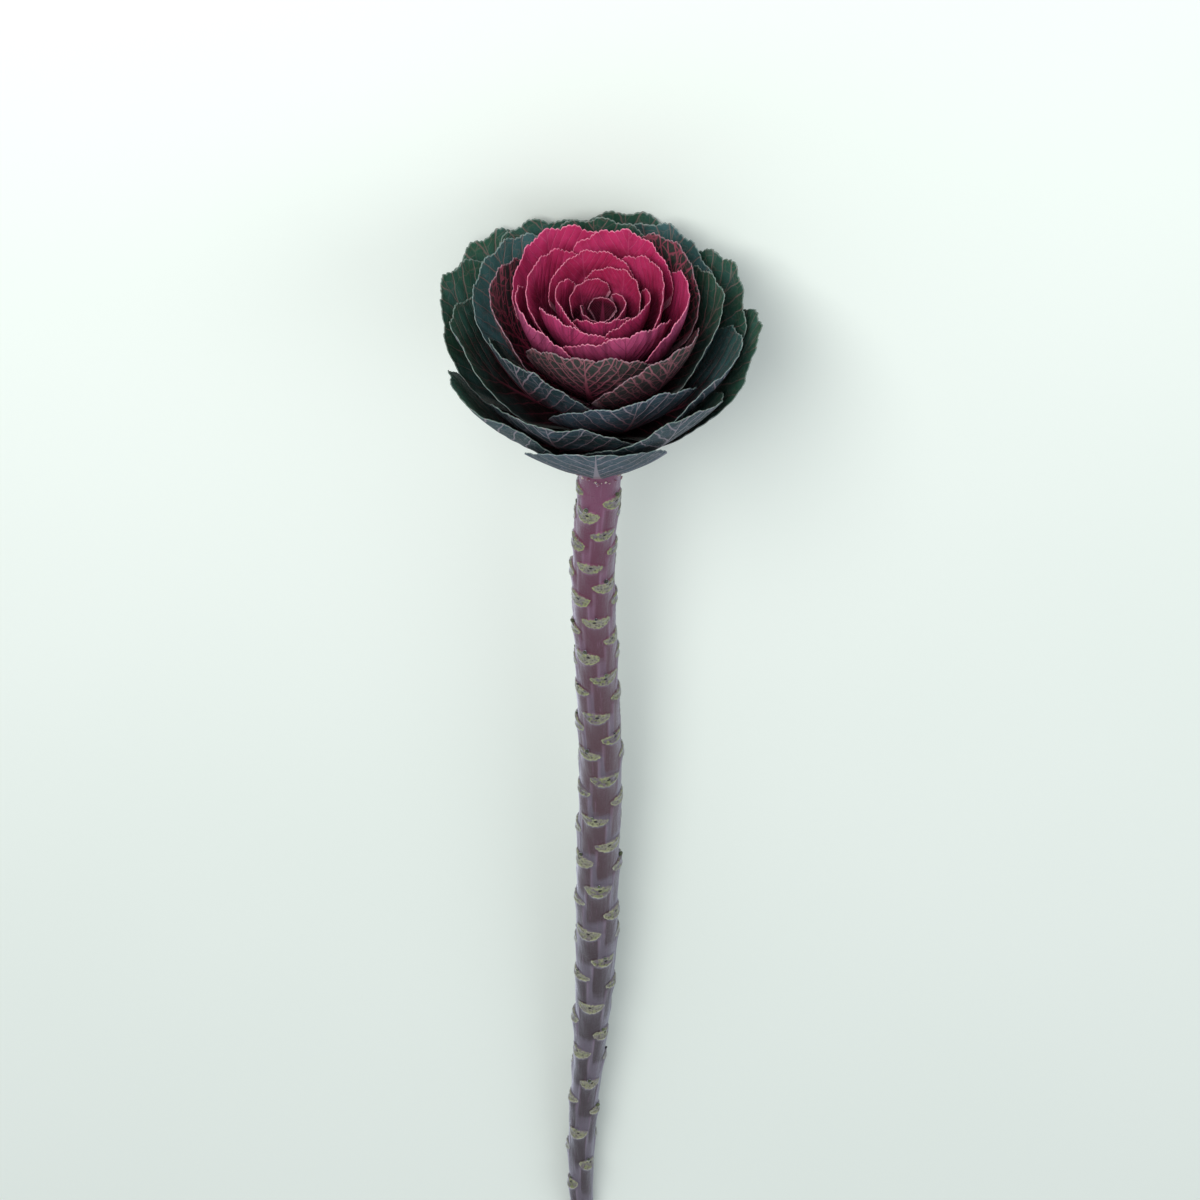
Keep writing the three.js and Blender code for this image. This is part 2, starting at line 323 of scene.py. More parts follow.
def build_leaf(number, name, sizes, materials):
    """One leaf as a closed blade on a fine grid.

    Rows run from the foot to the rim, closer together near the rim, and columns follow the rim's
    length evenly. The rim is cut into slanting teeth. The blade is quilted: it bulges between its side
    veins by a sine of the vein count. The midrib is a ridge under the blade and a groove on top of it."""
    leaf = leaf_facts(number)
    kind = kind_of(number)
    rows, columns = kind["rows"], kind["columns"]
    length = blade_length(leaf)
    fine_turn = np.linspace(-math.pi / 2, math.pi / 2, 721)
    rim_along, rim_side = outline(leaf, 1.0, fine_turn)
    steps = np.hypot(np.diff(rim_along * length), np.diff(rim_side))
    rim_length = np.concatenate([[0], np.cumsum(steps)])
    even = np.linspace(0, rim_length[-1], columns)
    turn = np.interp(even, rim_length, fine_turn)[None, :]
    rise = (1 - (1 - np.linspace(0, 1, rows)) ** 1.25)[:, None]
    along, side = outline(leaf, rise, turn)

    column = np.arange(columns)
    tooth = column // 3
    cut = np.array([1.0, 0.3, 0.0])[np.where(turn[0] < 0, column % 3, 2 - column % 3)]
    deep = 0.62 + 0.38 * np.sin(2.3 * tooth + 3 * leaf["phase"]) * np.sin(0.9 * tooth)
    room = min(1.0, length / 45)
    notch = (room * kind["tooth"] * sizes.tooth_depth / MM * deep * cut)[None, :] * rise**16
    shrink = 1 - notch / length
    along = along * shrink
    side = side * shrink
    point = leaf_surface(leaf, along, side)

    outwards = leaf_surface(leaf, along + 0.004, side) - leaf_surface(leaf, along - 0.004, side)
    across = leaf_surface(leaf, along, side + 0.1) - leaf_surface(leaf, along, side - 0.1)
    normal = np.cross(outwards, across)
    normal /= np.linalg.norm(normal, axis=-1, keepdims=True)

    up_blade = along * length
    spacing = length / kind["veins"]
    veins = (up_blade - VEIN_SLANT * np.abs(side)) / spacing + np.where(side > 0, 0.5, 0.0)
    fan = np.arctan2(side, up_blade + 0.3 * length)
    to_rim = (1 - rise) * length * leaf["shoulder"]
    to_side = np.maximum(leaf["half_width"] * foot_width(rise) * (1 - np.abs(np.sin(turn))), 0)
    to_edge = np.minimum(to_rim, to_side + 0 * to_rim)

    inside = smooth_step(0, 7, to_edge) * smooth_step(0.05, 0.3, along)
    quilt = sizes.quilt_depth / MM * inside * np.sin(math.pi * veins) ** 2 * smooth_step(1, 5, np.abs(side))
    crinkle = 0.16 * rise**6 * np.sin(even * 0.9 + 2 * leaf["phase"])[None, :]
    share = side / leaf["half_width"]
    rib = leaf["rib_depth"] * np.maximum(1 - along, 0) ** 1.5 * np.exp(-((share / 0.16) ** 2))
    foot = leaf["rib_depth"] * np.maximum(1 - along, 0) ** 5 * np.exp(-((share / 0.5) ** 2))
    rib = np.maximum(rib, 0.8 * foot)
    groove = sizes.groove_depth / MM * np.exp(-((side / 1.4) ** 2))
    groove = groove * smooth_step(0, 0.2, along) * smooth_step(1, 0.7, along)
    half = leaf["thickness"] / 2
    blade = half - (half - RIM_HALF_THICKNESS) * smooth_step(4.5, 0, to_edge)
    wrinkle = quilt * (1 if number >= OUTER_LEAVES else OUTER_QUILT) + crinkle
    below = point + (blade + rib)[..., None] * normal - wrinkle[..., None] * normal
    above = point - (blade - groove)[..., None] * normal - wrinkle[..., None] * normal
    below[..., 2] = np.maximum(below[..., 2], 0.0)

    points = np.concatenate([above.reshape(-1, 3), below.reshape(-1, 3)])
    size = rows * columns
    top = grid_quads(rows, columns)
    bottom = grid_quads(rows, columns, size)[:, ::-1]
    corner = np.arange(size).reshape(rows, columns)
    ring = np.concatenate([corner[0], corner[1:, -1], corner[-1, -2::-1], corner[-2:0:-1, 0]])
    following = np.roll(ring, -1)
    strip = np.stack([ring + size, following + size, following, ring], axis=-1)
    quads = np.concatenate([top, bottom, strip])
    slots = np.concatenate([np.zeros(len(top)), np.ones(len(bottom)), np.zeros(len(strip))])

    flat = np.ones_like(up_blade)
    blade_facts = np.stack([side, up_blade, to_edge], axis=-1).reshape(-1, 3)
    vein_facts = np.stack([veins, fan * 9, along * flat], axis=-1).reshape(-1, 3)
    tone = np.stack([flat * number / (LEAF_COUNT - 1), flat * chance(number, 9), flat * length], axis=-1)
    attributes = {
        "blade": np.tile(blade_facts, (2, 1)),
        "veins": np.tile(vein_facts, (2, 1)),
        "tone": np.tile(tone.reshape(-1, 3), (2, 1)),
    }
    return make_mesh(name, points, [quads], attributes, materials, slots)


# ---------------------------------------------------------------- materials


def colour(code):
    """A hex colour as linear red, green, blue and alpha."""
    parts = [int(code[k : k + 2], 16) / 255 for k in (1, 3, 5)]
    return [c / 12.92 if c <= 0.04045 else ((c + 0.055) / 1.055) ** 2.4 for c in parts] + [1.0]


class Tree:
    """A short way to write a material's nodes: each call adds a node and returns its output."""

    def __init__(self, name):
        """Start a material with its plain shader."""
        self.material = bpy.data.materials.new(name)
        self.material.use_nodes = True
        self.nodes = self.material.node_tree.nodes
        self.links = self.material.node_tree.links
        self.shader = self.nodes["Principled BSDF"]

    def put(self, value, socket):
        """Link a node's output to a socket, or set the socket to a number or colour."""
        if isinstance(value, bpy.types.NodeSocket):
            self.links.new(value, socket)
        elif value is not None:
            socket.default_value = value

    def math(self, operation, a, b=None, c=None, clamp=False):
        """A sum, product or other arithmetic of up to three values."""
        node = self.nodes.new("ShaderNodeMath")
        node.operation = operation
        node.use_clamp = clamp
        for socket, value in zip(node.inputs, (a, b, c)):
            self.put(value, socket)
        return node.outputs[0]

    def smooth(self, value, low, high, to_low=0.0, to_high=1.0):
        """Goes from one number to another with level ends, as the value goes from low to high."""
        node = self.nodes.new("ShaderNodeMapRange")
        node.interpolation_type = "SMOOTHSTEP"
        keys = ("Value", "From Min", "From Max", "To Min", "To Max")
        for key, given in zip(keys, (value, low, high, to_low, to_high)):
            self.put(given, node.inputs[key])
        return node.outputs[0]

    def mix(self, share, first, second, blend="MIX"):
        """The first colour with a share of the second."""
        node = self.nodes.new("ShaderNodeMix")
        node.data_type = "RGBA"
        node.blend_type = blend
        self.put(share, node.inputs["Factor"])
        self.put(first, node.inputs[6])
        self.put(second, node.inputs[7])
        return node.outputs[2]

    def attribute(self, name):
        """A point attribute as a vector, and its three numbers."""
        node = self.nodes.new("ShaderNodeAttribute")
        node.attribute_name = name
        split = self.nodes.new("ShaderNodeSeparateXYZ")
        self.links.new(node.outputs["Vector"], split.inputs[0])
        return node.outputs["Vector"], split.outputs[0], split.outputs[1], split.outputs[2]

    def vector(self, x, y, z):
        """Three numbers as a vector."""
        node = self.nodes.new("ShaderNodeCombineXYZ")
        for socket, value in zip(node.inputs, (x, y, z)):
            self.put(value, socket)
        return node.outputs[0]

    def noise(self, vector, scale, detail=3.0, roughness=0.5, distortion=0.0):
        """Clouds from 0 to 1 at a place."""
        node = self.nodes.new("ShaderNodeTexNoise")
        self.put(vector, node.inputs["Vector"])
        node.inputs["Scale"].default_value = scale
        node.inputs["Detail"].default_value = detail
        node.inputs["Roughness"].default_value = roughness
        node.inputs["Distortion"].default_value = distortion
        return node.outputs["Fac"]

    def cells(self, vector, scale):
        """The distance from a place to the edges of random cells."""
        node = self.nodes.new("ShaderNodeTexVoronoi")
        node.feature = "DISTANCE_TO_EDGE"
        self.put(vector, node.inputs["Vector"])
        node.inputs["Scale"].default_value = scale
        return node.outputs["Distance"]

    def bump(self, height, strength, distance):
        """Grain that is too fine for the mesh, on the shader's normal."""
        node = self.nodes.new("ShaderNodeBump")
        node.inputs["Strength"].default_value = strength
        node.inputs["Distance"].default_value = distance
        self.put(height, node.inputs["Height"])
        self.links.new(node.outputs[0], self.shader.inputs["Normal"])


def blade_material(name, look):
    """A leaf face. Side veins are lines where the vein count is whole, the net between them is the
    edges of warped cells, streaks follow the fan of the blade, and the rim is a thin pale line. The
    near-black colour at the foot is painted shade of the hollows between the leaves."""
    tree = Tree(name)
    blade, side, up_blade, to_edge = tree.attribute("blade")
    _, veins, fan, along = tree.attribute("veins")
    _, age, luck, length = tree.attribute("tone")
    spread = tree.math("ABSOLUTE", side)

    warp = tree.noise(blade, 0.11, 2.0)
    wander = tree.math("MULTIPLY_ADD", warp, 0.5, -0.25)
    count = tree.math("ADD", veins, wander)
    line = tree.math("PINGPONG", count, 0.5)
    width = tree.smooth(spread, 0.0, 34.0, look["vein_width"], look["vein_width"] * 0.35)
    lateral = tree.math("SUBTRACT", 1.0, tree.smooth(tree.math("DIVIDE", line, width), 0.35, 1.0))
    rib_width = tree.smooth(along, 0.0, 1.0, look["rib_width"], 0.25)
    midrib = tree.math("SUBTRACT", 1.0, tree.smooth(tree.math("DIVIDE", spread, rib_width), 0.6, 1.0))
    aside = tree.math("MULTIPLY_ADD", warp, 9.0, side)
    shifted = tree.vector(aside, tree.math("MULTIPLY_ADD", warp, 7.0, up_blade), luck)
    net = tree.smooth(tree.cells(shifted, look["net_scale"]), 0.0, look["net_width"], 1.0, 0.0)
    fine = tree.math("SUBTRACT", 1.0, tree.smooth(tree.cells(shifted, look["net_scale"] * 3.1), 0.0, 0.12))
    strong = tree.math("MAXIMUM", midrib, tree.math("MULTIPLY", lateral, look["lateral"]))
    all_veins = tree.math("MAXIMUM", strong, tree.math("MULTIPLY", net, look["net"]))
    all_veins = tree.math("MAXIMUM", all_veins, tree.math("MULTIPLY", fine, look["fine"]), clamp=True)

    streak_place = tree.vector(fan, tree.math("MULTIPLY", along, 0.6), luck)
    streak = tree.smooth(tree.noise(streak_place, 2.2, 4.0, 0.6), 0.42, 0.68)
    patch = tree.smooth(tree.noise(blade, 0.06, 3.0, 0.55), 0.35, 0.7)
    grain = tree.noise(blade, 1.4, 3.0, 0.6)

    # Painted shade of the hollows between the leaves: the face goes to its near-black foot colour below
    # low_end, and all but the outermost leaves, which others cover, stay dark further up, the innermost
    # leaves more so.
    hollow_shade = tree.smooth(age, 0.06, 0.24, 0.0, look["hollow_shade"])
    hollow_shade = tree.math("ADD", hollow_shade, tree.smooth(age, 0.84, 1.0, 0.0, 0.35))
    uneven = tree.math("ADD", along, tree.math("MULTIPLY_ADD", patch, 0.16, -0.08))
    rise = tree.math("SUBTRACT", uneven, hollow_shade)
    low_part = tree.smooth(rise, look["low_end"] - 0.25, look["low_end"] + 0.2)
    ground = tree.mix(low_part, look["low"], look["mid"])
    outer_part = tree.mix(tree.smooth(age, 0.6, 0.85), look["high"], look["heart"])
    ground = tree.mix(tree.smooth(rise, 0.5, 1.0), ground, outer_part)
    lucky = tree.smooth(luck, 0.0, 0.8, 0.0, look["powder"])
    powder = tree.math("MULTIPLY_ADD", patch, 0.35, lucky)
    ground = tree.mix(tree.math("MULTIPLY", powder, low_part), ground, look["patch"])
    ground = tree.mix(tree.math("MULTIPLY", streak, look["streak"]), ground, look["low"])
    grainy = tree.math("MULTIPLY", tree.math("SUBTRACT", grain, 0.5, clamp=True), 0.5)
    ground = tree.mix(grainy, ground, look["high"])
    vein_part = tree.smooth(rise, look["low_end"] - 0.1, look["low_end"] + 0.35)
    vein_colour = tree.mix(vein_part, look["vein_low"], look["vein"])
    veined = tree.mix(all_veins, ground, vein_colour)
    faded = tree.mix(look["vein_strength"], ground, veined)
    dots = tree.smooth(tree.noise(blade, 0.8, 1.0), 0.45, 0.6, 0.55, 1.0)
    rim = tree.math("MULTIPLY", tree.smooth(to_edge, look["rim"] * 0.5, look["rim"] * 1.6, 1.0, 0.0), dots)
    painted = tree.mix(tree.math("MULTIPLY", rim, look["rim_strength"]), faded, look["rim_colour"])
    value = tree.math("MULTIPLY_ADD", luck, 0.1, 1.0)
    shade = tree.vector(value, value, value)
    tree.put(tree.mix(1.0, painted, shade, "MULTIPLY"), tree.shader.inputs["Base Color"])

    bloom = tree.smooth(grain, 0.3, 0.7, look["roughness"] - 0.06, look["roughness"] + 0.1)
    tree.put(bloom, tree.shader.inputs["Roughness"])
    tree.shader.inputs["Specular IOR Level"].default_value = look["shine"]
    tree.shader.inputs["Subsurface Weight"].default_value = look["glow"]
    tree.shader.inputs["Subsurface Radius"].default_value = (1.0, 0.35, 0.3)
    tree.shader.inputs["Subsurface Scale"].default_value = 0.0016
    relief = tree.math("MULTIPLY_ADD", all_veins, look["relief"], tree.math("MULTIPLY", grain, 0.25))
    tree.bump(relief, 0.55, 0.0004)
    return tree.material


# The numbers of a leaf face's look, and how each kind's two faces differ from them. low_end sets where the
# near-black painted shade at a leaf's foot gives way, and the shade share darkens covered leaves further up.
PLAIN = {
    "vein_width": 0.085, "rib_width": 1.5, "net_scale": 0.2, "net_width": 0.06, "lateral": 1.0, "net": 0.4,
    "fine": 0.12, "low_end": 0.5, "streak": 0.2, "vein_strength": 0.7, "rim": 0.28, "rim_strength": 0.5,
    "roughness": 0.48, "shine": 0.4, "glow": 0.04, "relief": -0.8, "hollow_shade": 0.1, "powder": 0.5,
}
LOOKS = {
    "green_leaf": {
        "upper": {**PLAIN, "vein_strength": 0.6},
        "under": {**PLAIN, "rib_width": 3.0, "low_end": 0.22, "roughness": 0.62, "relief": 1.2,
                  "hollow_shade": 0.42, "powder": 0.25, "shine": 0.12, "vein_strength": 0.85,
                  "vein_width": 0.1, "net": 0.5},
    },
    "blush_leaf": {
        "upper": {**PLAIN, "vein_width": 0.14, "net_width": 0.1, "net": 0.9, "vein_strength": 0.9},
        "under": {**PLAIN, "vein_width": 0.15, "rib_width": 2.6, "shine": 0.2, "net_width": 0.09, "net": 0.8,
                  "low_end": 0.45, "vein_strength": 0.9, "roughness": 0.56, "relief": 1.2},
    },
    "rose_leaf": {
        "upper": {**PLAIN, "net": 0.2, "fine": 0.08, "low_end": 0.6, "vein_strength": 0.25, "rim": 0.17,
                  "glow": 0.1, "powder": 0.2},
        "under": {**PLAIN, "net": 0.25, "fine": 0.1, "low_end": 0.55, "streak": 0.6, "vein_strength": 0.6,
                  "rim": 0.17, "glow": 0.1, "relief": 0.8, "powder": 0.2},
    },
}

# The colours of a leaf face, which the settings below hold for each kind. The low colour is near black:
# painted shade at the leaf's foot, in the hollows between the leaves.
LEAF_COLOURS = ("low", "mid", "high", "heart", "patch", "vein", "vein_low", "rim_colour")


def leaf_materials(kind, colours):
    """The materials of a leaf's two faces, with the user's colours."""
    materials = []
    for face, look in LOOKS[kind].items():
        chosen = {key: list(getattr(colours, face + "_" + key)) for key in LEAF_COLOURS}
        materials.append(blade_material(kind + "_" + face, {**look, **chosen}))
    return materials


def bark_material(colours):
    """The stalk's skin: dark wine red near the head and brown at the foot in the flat panels under the
    scars, and mauve to lavender grey on the flanks between them. The scars are olive and grey with pale
    lips, found from each point's distance to the scar's edge, which a fine noise makes ragged. A pale painted
    highlight lies on the ridges under each scar's corners, and the pit at the top of a scar is painted near
    black as painted shade."""
    tree = Tree("stalk_bark")
    _, depth, bud, trace = tree.attribute("scars")
    _, cosine, below, sine = tree.attribute("skin")
    _, panel, ridge_glint, lip = tree.attribute("panels")
    _, knob, stub, _ = tree.attribute("knobs")
    skin = tree.vector(cosine, sine, below)
    share = tree.math("DIVIDE", below, STALK_LENGTH)
    long_place = tree.vector(cosine, sine, tree.math("MULTIPLY", below, 0.1))
    fibre = tree.noise(long_place, 0.9, 4.0, 0.6)
    broad = tree.noise(skin, 0.06, 3.0, 0.6, 0.6)
    fine = tree.noise(skin, 1.3, 4.0, 0.65)
    spots = tree.noise(skin, 0.55, 3.0, 0.6)
    front = tree.mix(tree.smooth(share, 0.0, 0.35), colours.front_top, colours.front_middle)
    front = tree.mix(tree.smooth(share, 0.3, 0.7), front, colours.front_foot)
    flank = tree.mix(tree.smooth(share, 0.0, 0.4), colours.flank_top, colours.flank_foot)
    sheet = tree.math("MULTIPLY_ADD", tree.math("SUBTRACT", broad, 0.5), 1.6, panel)
    base = tree.mix(tree.smooth(sheet, 0.1, 0.75), flank, front)
    base = tree.mix(tree.smooth(fibre, 0.55, 0.8, 0.0, 0.35), base, colours.fibre)
    base = tree.mix(tree.smooth(fine, 0.5, 0.75, 0.0, 0.4), base, colours.speck)
    # Painted highlight: a pale colour on the ridges that run down from a scar's corners.
    base = tree.mix(tree.math("MULTIPLY", ridge_glint, 0.25), base, colours.ridge_glint)
    ragged = tree.math("MULTIPLY_ADD", tree.math("SUBTRACT", fine, 0.5), 1.8, depth)
    inside = tree.smooth(ragged, -0.05, 0.15)
    face = tree.mix(tree.smooth(spots, 0.44, 0.56), colours.scar_grey, colours.scar_olive)
    face = tree.mix(tree.smooth(broad, 0.4, 0.6, 0.0, 0.6), face, colours.scar_dry)
    face = tree.mix(tree.smooth(fine, 0.5, 0.62, 0.0, 0.75), face, colours.scar_dark)
    edge = tree.mix(tree.smooth(share, 0.1, 0.7), colours.lip_top, colours.lip_foot)
    rim = tree.math("MULTIPLY", tree.smooth(ragged, 0.3, 1.0, 1.0, 0.0), tree.smooth(lip, 0.8, 2.2, 1.0, 0.3))
    rim = tree.math("MULTIPLY", rim, tree.smooth(spots, 0.36, 0.6, 0.3, 1.0))
    face = tree.mix(rim, face, edge)
    face = tree.mix(tree.smooth(trace, 0.35, 0.6, 0.75, 0.0), face, colours.trace)
    base = tree.mix(inside, base, face)
    # Painted shade: the pit at the top of a scar is painted near black.
    pit_shade = tree.math("MULTIPLY_ADD", tree.math("SUBTRACT", fine, 0.5), 0.8, bud)
    base = tree.mix(tree.smooth(pit_shade, 0.6, 0.85, 1.0, 0.0), base, colours.pit_shade)
    base = tree.mix(knob, base, tree.mix(tree.smooth(spots, 0.4, 0.6), colours.bud, colours.bud_tip))
    base = tree.mix(stub, base, tree.mix(tree.smooth(fine, 0.42, 0.58), colours.stub_skin, colours.stub_torn))
    tree.put(base, tree.shader.inputs["Base Color"])
    tree.put(tree.smooth(fibre, 0.3, 0.7, 0.42, 0.6), tree.shader.inputs["Roughness"])
    tree.shader.inputs["Specular IOR Level"].default_value = 0.4
    tree.shader.inputs["Sheen Weight"].default_value = 0.9
    tree.shader.inputs["Sheen Roughness"].default_value = 0.35
    tree.shader.inputs["Sheen Tint"].default_value = (0.62, 0.64, 0.8, 1)
    relief = tree.math("ADD", tree.math("MULTIPLY", fibre, 0.8), tree.math("MULTIPLY", fine, 0.5))
    tree.bump(relief, 0.6, 0.0005)
    return tree.material


def cut_material(colours):
    """The cut end: a green skin ring, pale wood with rays, and a whitish pith."""
    tree = Tree("stalk_cut")
    _, _, radius, angle = tree.attribute("around")
    ray_place = tree.vector(tree.math("MULTIPLY", angle, 5.0), tree.math("MULTIPLY", radius, 0.5), 0.0)
    rays = tree.noise(ray_place, 2.0, 3.0)
    base = tree.mix(tree.smooth(radius, 0.3, 0.42), colours.pith, colours.wood)
    base = tree.mix(tree.smooth(rays, 0.4, 0.7, 0.0, 0.5), base, colours.ray)
    base = tree.mix(tree.smooth(radius, 0.84, 0.92), base, colours.cut_skin)
    tree.put(base, tree.shader.inputs["Base Color"])
    tree.shader.inputs["Roughness"].default_value = 0.55
    tree.bump(rays, 0.5, 0.0004)
    return tree.material


def floor_material(tone):
    """A plain pale floor with the faintest clouds."""
    tree = Tree("studio_floor")
    node = tree.nodes.new("ShaderNodeTexCoord")
    cloud = tree.noise(node.outputs["Object"], 3.0, 2.0)
    cloudy = tree.mix(tree.smooth(cloud, 0.3, 0.7, 0.0, 0.06), tone, colour("#ffffff"))
    tree.put(cloudy, tree.shader.inputs["Base Color"])
    tree.shader.inputs["Roughness"].default_value = 0.85
    return tree.material


# ---------------------------------------------------------------- the stalk


def scar_places():
    """The leaf scars' distances below the head and azimuths: the leaf spiral carried on, with steps
    that grow towards the foot."""
    below = FIRST_SCAR
    places = []
    for number in range(SCAR_COUNT):
        azimuth = math.radians(FIRST_AZIMUTH - GOLDEN_ANGLE * (number + 1))
        if below < STALK_LENGTH - 5:
            places.append((below, azimuth, 1 + 0.2 * chance(number, 7)))
        below += SCAR_STEP_TOP + (SCAR_STEP_CUT - SCAR_STEP_TOP) * below / STALK_LENGTH
    return places


def bark_relief(below, azimuth, sizes):
    """How far the bark stands out, and the fields that its colours are found from.

    Each scar is a half moon between a top edge that bows up and a lower lip that hangs as an ellipse.
    Its face slopes back to the top in the lower stalk and to the lip near the head. Under the lip the
    bark falls back by an exponential, with a flat panel between two ridges that start at the scar's
    corners. The depth of a point in a scar is its least distance to the scar's edge."""
    height = np.zeros_like(below)
    depth = np.full_like(below, -3.0)
    lip = np.full_like(below, 3.0)
    bud = np.full_like(below, 3.0)
    trace = np.full_like(below, 3.0)
    ridge_glint = np.zeros_like(below)
    panel = np.zeros_like(below)
    for number, (at, turn, size) in enumerate(scar_places()):
        near = np.abs(below[:, 0] - at - 14) < 26
        down = below[near] - at
        off = (azimuth[near] - turn + math.pi) % (2 * math.pi) - math.pi
        half = math.radians((SCAR_HALF_ANGLE + SCAR_FACE_EXTRA) * (1 + 0.14 * chance(number, 12)))
        share = np.abs(off) / half
        bow = np.sqrt(np.clip(1 - share**2.2, 0, 1))
        rough = 0.22 * np.sin(off * 31 + number * 2.1) + 0.16 * np.sin(off * 57 + number)
        lip_at = -0.7 + 3.7 * size * bow ** (1.1 + 0.3 * chance(number, 13)) + rough
        top_at = -0.9 - 1.7 * size * bow + 0.8 * rough
        inner = np.minimum(np.minimum(lip_at - down, down - top_at), 8.5 * half * (1 - share))
        step = smooth_step(-0.3, 0.7, down - top_at)
        low = at / STALK_LENGTH
        falling = np.exp(-np.maximum(down - lip_at, 0) / (6 + 5 * low))
        slope = 1 - 0.3 * low + (0.6 * low - 0.2) * np.clip((down - top_at) / 5, 0, 1)
        swell = np.exp(-((off / math.radians(SCAR_HALF_ANGLE)) ** 2)) * step * falling * slope
        under = smooth_step(0, 2.5, down - lip_at)
        lines = np.exp(-(((share - 0.86) * half / math.radians(RIDGE_HALF_ANGLE)) ** 2)) * under
        lines = lines * smooth_step(19 + 6 * chance(number, 10), 5, down)
        sheet = smooth_step(0.9, 0.72, share) * under * smooth_step(30 + 5 * chance(number, 16), 18, down)
        dent = np.hypot(down + 0.9 * size, off * 8 + 1.2 * chance(number, 11))
        marks = [np.hypot(down - 0.9 * size + 0.05 * side**2, off * 8.5 - side) for side in (-2.6, 0.0, 2.6)]
        rim = smooth_step(1.0, 0.3, inner) * smooth_step(-0.3, 0.1, inner)
        bump = 0.25 * rim - sizes.bud_depth / MM * smooth_step(1.1, 0.2, dent)
        bump -= 0.15 * smooth_step(0.9, 1.6, inner)
        height[near] = np.maximum(height[near], SCAR_LEDGE * size * swell + sizes.ridge_height / MM * lines)
        height[near] += bump
        lip[near] = np.where(inner > depth[near], lip_at - down, lip[near])
        depth[near] = np.maximum(depth[near], inner)
        bud[near] = np.minimum(bud[near], dent)
        trace[near] = np.minimum(trace[near], np.min(marks, axis=0))
        # These ridge lines also carry the bark's pale painted highlight.
        ridge_glint[near] = np.maximum(ridge_glint[near], lines)
        panel[near] = np.maximum(panel[near], sheet)
    return height, depth, lip, bud, trace, ridge_glint, panel


def tube_faces(rings, sides):
    """The quads and the two end fans of a closed tube: its rings in order, then its two end points."""
    column = np.arange(sides)
    following = (column + 1) % sides
    last = (rings - 1) * sides
    first_fan = np.stack([column, following, np.full(sides, rings * sides)], axis=-1)
    last_fan = np.stack([following + last, column + last, np.full(sides, rings * sides + 1)], axis=-1)
    return grid_quads(rings, sides, closed=True)[:, ::-1], np.concatenate([first_fan, last_fan])


def knobs():
    """Small eggs on the bark, as rows of azimuth, distance below the head, lift, lean, length and width:
    a bud over about half of the scars, a few torn leaf stubs and a collar of small shreds right under the
    head, which lean outwards."""
    rows = []
    for number, (at, turn, size) in enumerate(scar_places()):
        if chance(number, 14) > 0.1:
            long = 0.95 + 0.35 * chance(number, 17)
            azimuth = turn + 0.07 * chance(number, 15)
            rows.append((azimuth, at - 2.9 * size, 0.7, 0.6, 1.35 * long, 0.75 * long, 1))
    shreds = []
    for k in range(COLLAR_SHREDS):
        turn = 360 / COLLAR_SHREDS * (k + 0.8 * chance(k, 24))
        shreds.append((turn, 6.0 + 1.1 * chance(k, 25), 0.7 + 0.35 * chance(k, 26)))
    for number, (turn, at, length) in enumerate(TORN_STUBS + shreds):
        lean = 0.9 + 0.7 * chance(number, 21)
        rows.append((math.radians(turn), at, 0.25 * length, lean, length, 0.42 + 0.2 * chance(number, 22), 0))
    return np.array(rows)


def knob_points(rings, sides):
    """Eggs: half circles of the width turned round an axis of the length. The axis leans from along the
    stalk to straight out of it, and the egg is a little lumpy."""
    turn, at, lift, lean, length, width, is_bud = (column[:, None, None] for column in knobs().T)
    polar = np.linspace(0, math.pi, rings + 2)[1:-1][None, :, None]
    round_it = np.linspace(0, 2 * math.pi, sides, endpoint=False)[None, None, :]
    lump = 1 + (0.12 + 0.4 * (1 - is_bud)) * np.sin(round_it * 3 + polar * 4 + turn * 9)
    axial = length * np.cos(polar) + 0 * round_it
    aside = width * np.sin(polar) * lump * np.cos(round_it)
    across = width * np.sin(polar) * lump * np.sin(round_it)
    axial_ends = np.concatenate([length, -length], axis=1)[:, :, 0]
    axial = np.concatenate([axial.reshape(len(turn), -1), axial_ends], axis=1)
    aside = np.pad(aside.reshape(len(turn), -1), ((0, 0), (0, 2)))
    across = np.pad(across.reshape(len(turn), -1), ((0, 0), (0, 2)))
    turn, at, lift, lean = turn[:, :, 0], at[:, :, 0], lift[:, :, 0], lean[:, :, 0]
    bare = smooth_line(STALK_RADII, at / KEY_SPACING)
    radius = bare + lift + axial * np.sin(lean) - aside * np.cos(lean)
    height = -at + axial * np.cos(lean) + aside * np.sin(lean)
    return place(height, radius, turn + across / bare, smooth_line(STALK_SWAY, at / KEY_SPACING) + 0 * axial)


